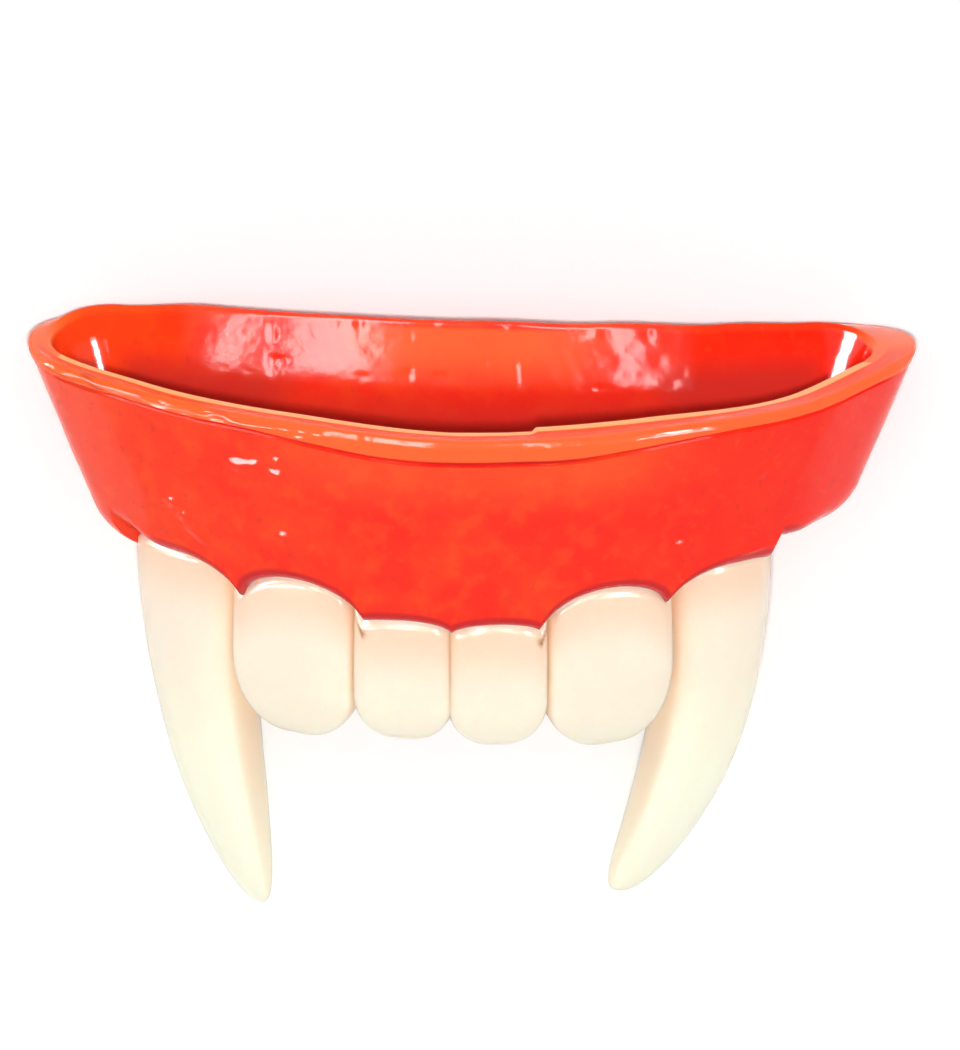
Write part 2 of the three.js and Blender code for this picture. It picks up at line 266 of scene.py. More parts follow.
def wall_point(t, along, turn, depth, inner, inset, share=1.0):
    """A point of the trough at a station and a depth.

    The station's middle lies on the arch. From there the point lies out by half the width at that depth, less
    inset, in a direction that turns round each end from the front to the back. It starts and ends square to the
    narrowing walls, so that they run smoothly into the end.
    """
    side = np.where(along < 0, -1, 1)
    front, back, half_angle = shell_at(t, inner, side, depth)
    angle = along * half_angle
    reach = ((rim_width(t, along) - front - back) / 2 - inset) * share
    taper = np.arcsin((t.middle_width - t.end_width) * np.abs(along) / t.arch_radius / half_angle)
    point = arch_point(t, angle, (back - front) / 2)
    point = point + frontward(angle + side * mix(taper, math.pi - taper, turn / 180)) * reach[..., None]
    point[..., 2] = rim_rise(along, turn) * np.clip(1 - depth / t.pocket_depth, 0, 1) - depth
    return point


def front_face(t, angle):
    """The gum's front face at an angle round the arch, at the depth where the teeth come out, seen from above."""
    angle = np.asarray(angle, float)
    front, _, half_angle = shell_at(t, 0, np.sign(angle), t.gum_height)
    return arch_point(t, angle, rim_width(t, angle / half_angle) / 2 - front)


def facing(t, angle):
    """The outward direction of that face, square to the line between two near points of it."""
    near = math.radians(0.5)
    along = front_face(t, angle + near) - front_face(t, angle - near)
    along = along / np.linalg.norm(along)
    return np.array([along[1], -along[0], 0])


def seat(t, thickness, angle):
    """A tooth's middle, seen from above, when it stands behind the gum's front face."""
    return front_face(t, angle) - facing(t, angle) * (t.lip_overhang + thickness / 2)


def set_teeth(t):
    """Sets each row of teeth outwards from the midline, each tooth against its neighbour.

    A tooth's angle is found by halving, so that its seat is half both widths and the gap from the last seat.
    """
    placed = []
    for side in (-1, 1):
        before = SimpleNamespace(angle=t.midline_shift / t.arch_radius, width=-t.tooth_gap, thickness=None, to=0)
        for row in (dict(zip(ROW_WORDS, values)) for values in TOOTH_ROWS if values[1] == side):
            tooth = SimpleNamespace(**row)
            tooth.width = getattr(t, tooth.kind + "_width")
            tooth.thickness = getattr(t, tooth.kind + "_thickness")
            tooth.reach = getattr(t, tooth.kind + "_reach")
            neighbour = seat(t, before.thickness or tooth.thickness, before.angle)
            apart = (before.width + tooth.width) / 2 + t.tooth_gap
            near, far = 0.0, 1.0
            while far - near > 1e-7:
                step = (near + far) / 2
                if np.linalg.norm(seat(t, tooth.thickness, before.angle + side * step) - neighbour) < apart:
                    near = step
                else:
                    far = step
            tooth.angle = before.angle + side * near
            tooth.middle = seat(t, tooth.thickness, tooth.angle)[0]
            tooth.start = mix(neighbour[0], tooth.middle, max(0, before.width / (before.width + tooth.width)))
            tooth.to = 2 * tooth.middle - tooth.start
            before.to = tooth.start
            placed.append(tooth)
            before = tooth
    return placed


def end_depth(t, along):
    return t.pocket_depth + t.bed_height * np.where(along < 0, END_EDGES[-1], END_EDGES[1])


def lobe_depth(t, side):
    """The depth of an end's lower edge where it starts beside its fang."""
    return t.pocket_depth + t.bed_height * np.where(side < 0, LOBE_STARTS[-1], LOBE_STARTS[1])


def margin(t, teeth, x):
    """The depth of the gum's lower front edge, by how far right it is as seen from in front.

    It is nearly half an ellipse over each tooth, with a point between two teeth.
    """
    depth = end_depth(t, x)
    for tooth in teeth:
        here = (x >= min(tooth.start, tooth.to)) & (x <= max(tooth.start, tooth.to))
        inwards = (x - tooth.middle) * tooth.side < 0
        edge = np.where(inwards, tooth.start, tooth.to)
        across = np.clip(np.abs((x - tooth.middle) / (edge - tooth.middle)), 0, 1)
        beside = np.where(inwards, tooth.inner, tooth.outer)
        share = mix(beside, tooth.over, superellipse(across, 2) ** 1.25)
        depth = np.where(here, t.pocket_depth + t.bed_height * share, depth)
        if tooth.kind == "fang":
            beyond = (x - tooth.to) * tooth.side + LOBE_OVER[tooth.side]
            eased = mix(lobe_depth(t, tooth.side), depth, smoothstep(beyond, 0, LOBE_REACH))
            depth = np.where(beyond > 0, eased, depth)
    return depth


def laid(points):
    """Turns points from the worn frame, in mm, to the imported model's, in metres: tipped on its back and moved."""
    tilt = math.radians(REST_TILT)
    x, y, z = points[..., 0], points[..., 1], points[..., 2]
    turned = np.stack([x, y * math.sin(tilt) + z * math.cos(tilt), z * math.sin(tilt) - y * math.cos(tilt)], -1)
    return (turned + LAID_AT) * MM


def surface_normals(grid, round_axis):
    """Outward directions of a grid surface: the cross product of its two central differences."""
    around = np.roll(grid, -1, round_axis) - np.roll(grid, 1, round_axis)
    down = np.gradient(grid, axis=1 - round_axis)
    normal = np.cross(down, around)
    return normal / np.maximum(np.linalg.norm(normal, axis=-1, keepdims=True), 1e-12)


def grid_mesh(name, grid, attributes, material):
    """A mesh from a grid of points that is closed round its first axis, with its meeting points joined."""
    around, down = grid.shape[:2]
    i, j = np.meshgrid(np.arange(around), np.arange(down - 1), indexing="ij")
    here, after = i * down + j, (i + 1) % around * down + j
    faces = np.stack([here, here + 1, after + 1, after], axis=-1).reshape(-1, 4)
    points = laid(grid).reshape(-1, 3)
    keys = np.round(points / 1e-7).astype(np.int64)
    _, first, joined = np.unique(keys, axis=0, return_index=True, return_inverse=True)
    faces = joined.reshape(-1)[faces]
    mesh = bpy.data.meshes.new(name)
    loops = [tuple(dict.fromkeys(face)) for face in faces.tolist()]
    mesh.from_pydata(points[first].tolist(), [], [loop for loop in loops if len(loop) > 2])
    for key, values in attributes.items():
        layer = mesh.attributes.new(key, "FLOAT", "POINT")
        layer.data.foreach_set("value", np.ascontiguousarray(values.reshape(-1)[first], dtype=np.float32))
    mesh.polygons.foreach_set("use_smooth", np.ones(len(mesh.polygons), dtype=bool))
    mesh.materials.append(material)
    mesh.update()
    piece = bpy.data.objects.new(name, mesh)
    bpy.context.collection.objects.link(piece)
    return piece


def node(tree, kind, sockets=None, **settings):
    """A shader node of a kind with its settings, its inputs set to values or linked to other nodes' outputs."""
    made = tree.nodes.new(kind)
    for key, value in settings.items():
        setattr(made, key, value)
    for key, value in (sockets or {}).items():
        if isinstance(value, bpy.types.NodeSocket):
            tree.links.new(value, made.inputs[key])
        else:
            made.inputs[key].default_value = value
    return made


def blend(tree, share, first, second, mode="MIX"):
    """A colour between two, by a share."""
    made = node(tree, "ShaderNodeMix", {0: share, 6: first, 7: second}, data_type="RGBA", blend_type=mode)
    return made.outputs[2]


def ramp(tree, value, low, high, out_low=0.0, out_high=1.0):
    """A value eased from one range to another."""
    sockets = {0: value, 1: low, 2: high, 3: out_low, 4: out_high}
    return node(tree, "ShaderNodeMapRange", sockets, interpolation_type="SMOOTHSTEP").outputs[0]


def texture(tree, kind, coordinates, sockets, **settings):
    return node(tree, kind, {"Vector": coordinates, **sockets}, **settings)


def read(tree, name):
    return node(tree, "ShaderNodeAttribute", attribute_name=name).outputs["Fac"]


def new_material(name):
    material = bpy.data.materials.new(name)
    material.use_nodes = True
    tree = material.node_tree
    tree.nodes.clear()
    coordinates = node(tree, "ShaderNodeTexCoord").outputs["Object"]
    return material, tree, coordinates


def finish_material(tree, sockets):
    shader = node(tree, "ShaderNodeBsdfPrincipled", sockets)
    node(tree, "ShaderNodeOutputMaterial", {"Surface": shader.outputs[0]})


def gum_material(colours):
    """Glossy moulded rubber: soft orange patches and flecks, painted light on the cut rim, its band and the
    pocket's upper back wall, a painted highlight on the rim's bead, painted shade deep in the pocket, on the lip
    over the teeth and under the trim ledge, and dark red streaks on the band.
    """
    material, tree, at = new_material("glossy_gum_rubber")
    mottle = texture(tree, "ShaderNodeTexNoise", at, {"Scale": 170.0, "Detail": 3.0, "Roughness": 0.55}).outputs[0]
    fleck = texture(tree, "ShaderNodeTexNoise", at, {"Scale": 1300.0, "Detail": 2.0}).outputs[0]
    colour = blend(tree, ramp(tree, mottle, 0.4, 0.72, 0.0, 0.45), tuple(colours.gum_colour),
                   tuple(colours.warm_colour))
    patch = texture(tree, "ShaderNodeTexNoise", at, {"Scale": 620.0, "Detail": 2.0}).outputs[0]
    colour = blend(tree, ramp(tree, patch, 0.45, 0.7, 0.0, 0.4), colour, tuple(colours.warm_colour))
    across = node(tree, "ShaderNodeSeparateXYZ", {0: at}).outputs[0]
    colour = blend(tree, ramp(tree, across, -0.012, -0.031, 0.0, 0.6), colour, tuple(colours.warm_colour))
    colour = blend(tree, ramp(tree, across, 0.005, 0.022, 0.0, 0.75), colour, tuple(colours.gum_colour))
    colour = blend(tree, ramp(tree, fleck, 0.6, 0.74, 0.0, 0.3), colour, tuple(colours.warm_colour))
    # Darker flecks at random, in the same colour as the pocket's painted shade.
    colour = blend(tree, ramp(tree, fleck, 0.36, 0.28, 0.0, 0.25), colour, tuple(colours.shade_and_fleck_colour))
    # Painted light: a paler orange where the rim, its band, the pocket's upper back wall and the front wall's top
    # catch the light.
    colour = blend(tree, read(tree, "rim"), colour, tuple(colours.painted_light_colour))
    # Painted highlight: a pale line along the rim's inner bead.
    colour = blend(tree, read(tree, "bead"), colour, tuple(colours.bead_highlight_colour))
    # Painted shade: darker deep in the pocket and towards its sides.
    colour = blend(tree, read(tree, "deep"), colour, tuple(colours.shade_and_fleck_colour))
    # Painted shade: dark red on the lip over the teeth and under the trim ledge, and dark red streaks on the band.
    colour = blend(tree, read(tree, "painted_shade_and_streaks"), colour, tuple(colours.painted_shade_and_streaks_colour))
    grain = texture(tree, "ShaderNodeTexNoise", at, {"Scale": 1800.0, "Detail": 3.0}).outputs[0]
    orange_peel = texture(tree, "ShaderNodeTexNoise", at, {"Scale": 650.0, "Detail": 2.0}).outputs[0]
    relief = node(tree, "ShaderNodeMath", {0: orange_peel, 1: 2.0, 2: grain}, operation="MULTIPLY_ADD").outputs[0]
    bump = node(tree, "ShaderNodeBump", {"Strength": 0.14, "Distance": 0.00005, "Height": relief})
    finish_material(tree, {
        "Base Color": colour,
        "Roughness": 0.11,
        "Specular IOR Level": node(tree, "ShaderNodeMapRange", {0: read(tree, "matt"), 3: 0.34, 4: 0.0}).outputs[0],
        "Subsurface Weight": 0.05,
        "Subsurface Radius": (1.0, 0.2, 0.1),
        "Subsurface Scale": 0.0008,
        "Normal": bump.outputs[0],
    })
    return material


def tooth_material(colours):
    """Waxy ivory: peach towards the gum but for a paler strip at the gum's very edge, which is a painted highlight;
    tan on the flanks, pale yellow towards the tip, and faintly clouded.
    """
    material, tree, at = new_material("waxy_ivory")
    cloud = texture(tree, "ShaderNodeTexNoise", at, {"Scale": 190.0, "Detail": 3.0}).outputs[0]
    colour = blend(tree, ramp(tree, cloud, 0.3, 0.75, 0.0, 0.2), tuple(colours.ivory_colour),
                   tuple(colours.tip_colour))
    colour = blend(tree, read(tree, "neck"), colour, tuple(colours.neck_colour))
    colour = blend(tree, read(tree, "tip"), colour, tuple(colours.tip_colour))
    colour = blend(tree, read(tree, "flank"), colour, tuple(colours.flank_colour))
    colour = blend(tree, read(tree, "pit"), colour, tuple(colours.pit_colour))
    grain = texture(tree, "ShaderNodeTexNoise", at, {"Scale": 900.0, "Detail": 2.0}).outputs[0]
    bump = node(tree, "ShaderNodeBump", {"Strength": 0.12, "Distance": 0.00005, "Height": grain})
    finish_material(tree, {
        "Base Color": colour,
        "Roughness": 0.2,
        "Specular IOR Level": 0.4,
        "Subsurface Weight": 0.5,
        "Subsurface Radius": (1.0, 0.6, 0.4),
        "Subsurface Scale": 0.0012,
        "Normal": bump.outputs[0],
    })
    return material


def stations():
    """Places round the trough: along its front, round its right end, back along its back and round its left."""
    wall = np.linspace(-1, 1, WALL_STATIONS, endpoint=False)
    round_end = np.linspace(0, 180, END_STATIONS, endpoint=False)
    along = np.concatenate([wall, np.ones(END_STATIONS), -wall, -np.ones(END_STATIONS)])
    turn = np.concatenate([np.zeros(WALL_STATIONS), round_end, np.full(WALL_STATIONS, 180.0), 180 - round_end])
    return along[:, None], turn[:, None]


def gum_grid(t, teeth):
    """The gum's skin: at each station a profile from the pocket's floor, over the rim, to the underside.

    The profile is a chain of stretches: the floor, its fillet, the inner wall, the rim's rounded inner edge, a
    shallow channel, the rounded outer edge, the band down to the trim line, the undercut ledge below it, the
    front wall, the rolled lip and the underside. Quarter circles join the straight stretches.
    """
    along, turn = stations()
    at_front = 1 - smoothstep(turn, 0, TRIM_END)
    at_back = smoothstep(turn, 50, 150)
    face = wall_point(t, along, turn, np.full_like(along, t.gum_height), 0, np.zeros_like(along))
    away = np.abs(along)
    middle_depth = mix(mix(t.gum_height, lobe_depth(t, np.sign(along)), smoothstep(away, 0.5, 0.85)),
                       end_depth(t, along), smoothstep(away, 0.85, 1))
    bottom = np.where(turn == 0, margin(t, teeth, face[..., 0]), middle_depth)
    corner = np.where(turn == 0, smoothstep(away, LIP_END, 1), 1)
    roll = mix(LIP_RADIUS, CORNER_RADIUS, corner)
    trim = mix(TRIM_MIDDLE, TRIM_BESIDE, smoothstep(away, 0.15, 0.6)) + TRIM_WAVES * noise(face, 3.1, 9)
    step = TRIM_STEP * at_front
    outer_round = mix(EDGE_RADIUS, BACK_EDGE_RADIUS, smoothstep(turn, 0, 60))

    def point(depth, inner, inset, share=1.0):
        shape = np.broadcast_shapes(along.shape, np.shape(depth), np.shape(inset), np.shape(share))
        return wall_point(t, *(np.broadcast_to(value, shape).astype(float)
                               for value in (along, turn, depth, inner, inset, share)))

    def chord(start, end, share):
        return mix(start, end, share[..., None])

    s = [np.linspace(0, 1, rows, endpoint=part == UNDER)[None, :] for part, rows in enumerate(ROWS)]
    arc = [share * math.pi / 2 for share in s]
    fall = BACK_FALL * at_back
    floor_edge, rim_edge = t.pocket_depth - POCKET_FILLET, point(fall, 0, outer_round)
    flared = 1 - smoothstep(np.abs(face[..., 0]), *FLARED)

    def flare(depth):
        """How far the back wall of the pocket leans out near its rim, besides its own lean."""
        above = np.clip(FLARE_DEPTH - depth, 0, None)
        return FLARE_SLOPE * above ** 2 / (above + FLARE_SOFTNESS) * at_back * flared

    edge_depth = BEAD_RADIUS * (1 - np.sin(arc[INNER_EDGE]))
    wall_depth = mix(floor_edge, BEAD_RADIUS, s[INNER_WALL])
    channel = CHANNEL_DEPTH * at_front * (0.6 + 0.5 * noise(face, 4.3, 11))
    parts = [
        chord(point(t.pocket_depth, 1, 0, 0.0), point(t.pocket_depth, 1, POCKET_FILLET), s[FLOOR]),
        point(floor_edge + POCKET_FILLET * np.cos(arc[FILLET]), 1, POCKET_FILLET * (1 - np.sin(arc[FILLET]))),
        point(wall_depth, 1, -flare(wall_depth)),
        point(edge_depth, 1, -BEAD_RADIUS * (1 - np.cos(arc[INNER_EDGE])) - flare(edge_depth)),
        chord(point(0, 1, -BEAD_RADIUS - flare(0)), rim_edge, s[TOP]),
        point(fall + outer_round * (1 - np.cos(arc[OUTER_EDGE])), 0, outer_round * (1 - np.sin(arc[OUTER_EDGE]))),
        point(mix(fall + outer_round, trim - LEDGE_LEAD, s[BAND]), 0, 0),
        point(trim - LEDGE_LEAD + LEDGE_HEIGHT * s[LEDGE], 0,
              step * (smoothstep(s[LEDGE], 0, 0.4) + 0.2 * np.sin(math.pi * s[LEDGE]) ** 2)),
        point(mix(trim + WALL_START, bottom - roll, s[WALL]), 0, step),
        point(bottom - roll * (1 - np.sin(arc[LIP])), 0, step + roll * (1 - np.cos(arc[LIP]))),
        chord(point(bottom, 0, step + roll), point(middle_depth, 0, 0, 0.0), s[UNDER]),
    ]
    parts[TOP][..., 2] -= channel * np.sin(math.pi * s[TOP]) ** 2
    parts[UNDER][..., 2] = -mix(bottom, middle_depth, smoothstep(s[UNDER], 0, 1))
    for part, share in ((INNER_WALL, s[INNER_WALL] ** 3), (INNER_EDGE, 1 + 0 * s[INNER_EDGE]), (TOP, 1 - s[TOP])):
        x = parts[part][..., 0]
        raised = STEP_HEIGHT * smoothstep(x, STEP_AT - STEP_RUN, STEP_AT + STEP_RUN)
        raised = raised * (1 - smoothstep(x, *STEP_FADE))
        parts[part][..., 2] += raised * at_front * share + BACK_RAISED * at_back * share
    grid = np.concatenate(parts, axis=1)
    blank = np.zeros_like(grid[..., 0])
    part = np.concatenate([np.full(rows, i) for i, rows in enumerate(ROWS)]) + blank
    return SimpleNamespace(grid=grid, part=part, place=np.concatenate(s, axis=1) + blank, turn=turn, corner=corner,
                           bottom=bottom, trim=trim)


def pocket_middle(x):
    """1 in the glossy middle of the pocket and 0 beside it."""
    return (1 - smoothstep(-x, *CENTRAL_LEFT)) * (1 - smoothstep(x, *CENTRAL_RIGHT))


def gum_relief(shape, streak):
    """How far the gum's skin stands out: low ripples, a pebbled pocket, blisters along its band, and pimples."""
    grid, part, turn, place = shape.grid, shape.part, shape.turn, shape.place
    x, depth = grid[..., 0], -grid[..., 2]
    ripple = sum(height * noise(grid, size, seed) for height, size, seed in RIPPLES)
    ripple = ripple * np.where(part == TOP, place, 1)
    pits = PIT_DEPTH * np.clip(noise(grid, PIT_SIZE, 6) - PIT_LEVEL, 0, 1) * mix(0.3, 1, smoothstep(x, *PITTED))
    pebble = mix(*PEBBLE_HEIGHTS, smoothstep(x, *PEBBLED)) * noise(grid, PEBBLE_SIZE, 3) - pits
    pebble = pebble * (pocket_middle(x) + smoothstep(x, *PEBBLED_END)) * np.where(part == INNER_EDGE, 1 - place, 1)
    rough = mix(0.25, 1, smoothstep(x, *ROUGH_FROM) * (1 - smoothstep(x, *ROUGH_TO)))
    blister = BLISTER_HEIGHT * np.clip(noise(grid, BLISTER_SIZE, 5) + BLISTER_LEVEL, 0, 1) * rough
    ragged = STREAK_HEIGHT * streak * shape.band * smoothstep(-x, *STREAKED)
    fade = np.where(part == OUTER_EDGE, smoothstep(place, 0, 0.6), 1 - smoothstep(place, 0.7, 1))
    relief = np.where(shape.pocket, pebble, ripple + (ragged + shape.band * blister) * fade)
    for across, down, half_width, half_height, height in PIMPLES:
        apart = ((x - across) / half_width) ** 2 + ((depth - down) / half_height) ** 2
        relief = relief + shape.front * np.isin(part, (LEDGE, WALL)) * height * np.clip(1 - np.sqrt(apart), 0, 1)
    relief = np.where((turn > 150) & (part > TOP), np.minimum(relief, 0), relief)
    relief[:, [0, -1]] = 0
    return relief


def gum_tints(shape, streak):
    """Shares of each tint over the skin: painted light on the rim and its band, the pocket's upper back wall and
    the front wall's top, a painted highlight on the bead, painted shade deep in the pocket, on the lip over the
    teeth and under the trim ledge, dark red streaks on the band, and matt places.
    """
    part, turn, front, pocket = shape.part, shape.turn, shape.front, shape.pocket
    x, depth = shape.grid[..., 0], -shape.grid[..., 2]
    away = np.abs(x)
    # The bead's rows carry a painted highlight along the rim's inner edge.
    bead = (part == INNER_EDGE) | ((part == TOP) & (np.arange(x.shape[1]) < sum(ROWS[:TOP]) + BEAD_ROWS))
    # Painted light: the rim and its band are paler where they face up to the light, less so at the back.
    rim = np.where(part == TOP, mix(0.35, 0.9, smoothstep(turn, 20, 60)), 0.0)
    rim = np.where(bead, 0.9, rim)
    rim = np.where(np.isin(part, (OUTER_EDGE, BAND)), mix(0.75, 0.5, smoothstep(turn, 60, 150)), rim)
    rim = rim * (1 - 0.85 * smoothstep(turn, 60, 150))
    # Painted light: a pool of orange light near the top of the pocket's back wall, in its middle.
    painted_glow = 0.75 * (1 - smoothstep(away, 4, 12)) * (1 - smoothstep(depth, 0.5, 4.5)) * smoothstep(turn, 90, 150)
    rim = np.where(pocket & (part != INNER_EDGE), painted_glow, rim)
    # Painted light: the top of the front wall's middle is lighter.
    painted_upper_light = 0.3 * (1 - smoothstep(depth, 2.5, 7)) * (1 - smoothstep(away, 8, 20))
    rim = np.where((part == WALL) & front, painted_upper_light, rim)

    # Painted shade: darker deeper in the pocket and towards its sides.
    sides = smoothstep(away, 9, 16) * (1 - smoothstep(away, 24, 27)) * smoothstep(depth, 1, 4)
    deep = np.where(pocket, np.maximum(smoothstep(depth, 1.5, 7.6), 0.85 * sides), 0)

    # Painted shade: dark red on the lip just above the gum's edge over the teeth.
    lip = smoothstep(depth, shape.bottom - 1.1, shape.bottom - 0.7) * front * (1 - shape.corner)
    painted_shade_and_streaks = np.where(np.isin(part, (WALL, LIP, UNDER)), lip, 0)
    # Painted shade under the trim ledge, strongest in the middle.
    crease_shade = mix(0.3, 0.75, smoothstep(x, -4, -1) * (1 - smoothstep(x, 7, 10)))
    crease_shade = crease_shade * front * (1 - smoothstep(depth, shape.trim + 0.2, shape.trim + 0.45))
    painted_shade_and_streaks = np.where(part == LEDGE, crease_shade, painted_shade_and_streaks)
    # Dark red streaks along the band's left part, on its raised streaks.
    painted_shade_and_streaks = np.where(shape.band, 0.35 * smoothstep(streak, 0.1, 0.5) * smoothstep(-x, 14, 19), painted_shade_and_streaks)

    (left_out, left_down), (right_out, right_down) = SHINY_LEFT, SHINY_RIGHT
    shiny_end = np.where(x < 0, smoothstep(away, *left_out) * smoothstep(depth, *left_down),
                         smoothstep(away, *right_out) * smoothstep(depth, *right_down))
    matt = np.where(pocket, (1 - pocket_middle(x)) * (1 - shiny_end) * smoothstep(turn, 50, 110), 0)
    matt = np.where(np.isin(part, (OUTER_EDGE, TOP)) & front, 0.8 * smoothstep(-x, 17, 20), matt)
    matt = np.where((part == LEDGE) & front, 0.85, matt)
    return {"rim": rim, "deep": deep, "painted_shade_and_streaks": painted_shade_and_streaks, "matt": matt, "bead": 0.9 * bead * front}


def make_gum(t, teeth, material):
    """The gum: its skin with its relief, and its tints."""
    shape = gum_grid(t, teeth)
    shape.front = (shape.turn == 0) & np.ones_like(shape.part, bool)
    shape.pocket = np.isin(shape.part, (FLOOR, FILLET, INNER_WALL, INNER_EDGE))
    shape.band = np.isin(shape.part, (OUTER_EDGE, BAND)) & shape.front
    streak = noise(shape.grid * STREAK_STRETCH, STREAK_SIZE, 12)
    made = shape.grid + surface_normals(shape.grid, 0) * gum_relief(shape, streak)[..., None]
    return grid_mesh("moulded_gum", made, gum_tints(shape, streak), material)


def tooth_grid(t, tooth, sweep, rings, sides):
    """A tooth: rounded rings square to its own bent axis, from its buried top to its end.

    The axis runs down from the root, strays inwards by a power of its share and sweeps back by its square. Each
    side of the tooth keeps its breadth down to its own crest and then turns in along a quarter ellipse. Above it
    the breadth is a squarer superellipse up to the root.
    """
    kind = SimpleNamespace(**dict(zip(KIND_WORDS, KINDS[tooth.kind])))
    root = t.pocket_depth + 1 + t.tooth_gap
    length = t.gum_height + tooth.reach * tooth.long - root
    labial = facing(t, tooth.angle)
    inward = np.array([labial[1], -labial[0], 0]) * tooth.side
    share = (1 - np.cos(np.linspace(0, math.pi, rings + 1))[None, :]) / 2
    turn = np.linspace(0, 2 * math.pi, sides, endpoint=False)[:, None]
    axis = (seat(t, tooth.thickness, tooth.angle) + inward * (length * tooth.stray * share ** tooth.bend)[..., None]
            - labial * (length * sweep * share ** 2)[..., None])
    axis[..., 2] = -root - length * share
    down = (inward * (length * tooth.stray * tooth.bend * share ** (tooth.bend - 1))[..., None]
            - labial * (2 * length * sweep * share)[..., None])
    down[..., 2] = -length
    down = down / np.linalg.norm(down, axis=-1, keepdims=True)
    across = np.cross(labial, down)
    across = across / np.linalg.norm(across, axis=-1, keepdims=True)
    front = np.cross(down, across)

    def breadth(crest, fullness):
        place = np.where(share < crest, share / crest - 1, (share - crest) / (1 - crest))
        return np.where(place < 0, superellipse(place, ROOT_FULLNESS), superellipse(place, fullness))

    inner, outer = breadth(kind.inner_crest, END_FULLNESS), breadth(kind.outer_crest, tooth.outer_full)
    inwards = np.sin(turn) * np.sign(across[0, 0] @ inward) > 0
    half = tooth.thickness / 2
    slim = mix(1, kind.edge, share)
    out = square_off(np.cos(turn), kind.squareness)
    out = (half * slim * out + half * (1 - slim)) * mix(inner, outer, 0.5)
    inner_reach = kind.inner_reach * (1 - smoothstep(share, kind.inner_crest, kind.inner_crest + 0.3))
    beside = np.where(inwards, (tooth.width / 2 + inner_reach) * inner,
                      (tooth.width / 2 + kind.outer_reach + tooth.outer_more) * outer)
    grid = axis + across * (beside * square_off(np.sin(turn), kind.squareness))[..., None] + front * out[..., None]
    blank = np.zeros(grid.shape[:2])
    return SimpleNamespace(grid=grid, front=front, share=share + blank, turn=turn + blank)


def sweep_to_table(t, tooth):
    """How far a fang's end lies behind its root, by halving, so that the tip just meets the table."""
    forward, backward = -1.0, 1.0
    while backward - forward > 1e-6:
        sweep = (forward + backward) / 2
        if laid(tooth_grid(t, tooth, sweep, *TOOTH_MESH).grid)[..., 2].min() > 0:
            forward = sweep
        else:
            backward = sweep
    return forward


def make_tooth(t, teeth, tooth, material):
    """A tooth with a rounded shoulder under the gum's edge, and its tints."""
    fang = tooth.kind == "fang"
    made = tooth_grid(t, tooth, sweep_to_table(t, tooth) if fang else 0, *TOOTH_MESH)
    x = made.grid[..., 0]
    below = -made.grid[..., 2] - margin(t, teeth, x)
    facing_front = smoothstep(np.cos(made.turn), -0.2, 0.5) * superellipse(made.share, 6)
    shoulder = SHOULDER_DEPTH * (1 - np.clip(below / SHOULDER_HEIGHT, 0, 1)) ** 2
    proud = PROUD * (1 - smoothstep(made.share, 0.55, 1.0))
    grid = made.grid + made.front * ((proud - shoulder) * facing_front)[..., None]
    flank = smoothstep(np.abs(np.sin(made.turn)), 0.9, 1.0)
    lower = smoothstep(made.share, 0.5, 1.0)
    seam = np.where(x < tooth.middle, min(tooth.start, tooth.to), max(tooth.start, tooth.to))
    pitted = (np.abs(seam - MIDDLE_SEAM) > PIT_SEAMS[0]) & (np.abs(seam) < PIT_SEAMS[1]) & (not fang)
    attributes = {
        "pit": pitted * np.exp(-((x - seam) / PIT_WIDTH) ** 2 - ((below - PIT_BELOW) / PIT_HEIGHT) ** 2),
        # The peach neck starts a little below the gum's edge, leaving a paler ivory strip there as a painted
        # highlight.
        "neck": 0.85 * (1 - smoothstep(below, 0.7, 5.5)) * smoothstep(below, 0.15, 0.45),
        "tip": 0.95 * smoothstep(made.share, 0.2, 0.7) if fang else 0.5 * lower,
        "flank": flank * (0.5 if fang else 0.7) * (1 - 0.7 * lower),
    }
    return grid_mesh("moulded_" + tooth.name, grid, attributes, material)


GUM_LENGTHS = ("trough_length", "middle_width", "end_width", "arch_radius", "front_wall", "back_wall",
               "left_end_wall", "right_end_wall", "pocket_depth", "bed_height")
TEETH_LENGTHS = ("tooth_gap", "lip_overhang", "midline_shift", "centre_width", "centre_thickness", "centre_reach",
                 "side_width", "side_thickness", "side_reach", "fang_width", "fang_thickness", "fang_reach")


def length_property(name, description, millimetres):
    return bpy.props.FloatProperty(name=name, description=description, default=millimetres * MM, unit="LENGTH",
                                   subtype="DISTANCE", precision=5)


def colour_property(name, description, colour):
    return bpy.props.FloatVectorProperty(name=name, description=description, default=(*colour, 1.0), size=4,
                                         min=0, max=1, subtype="COLOR")


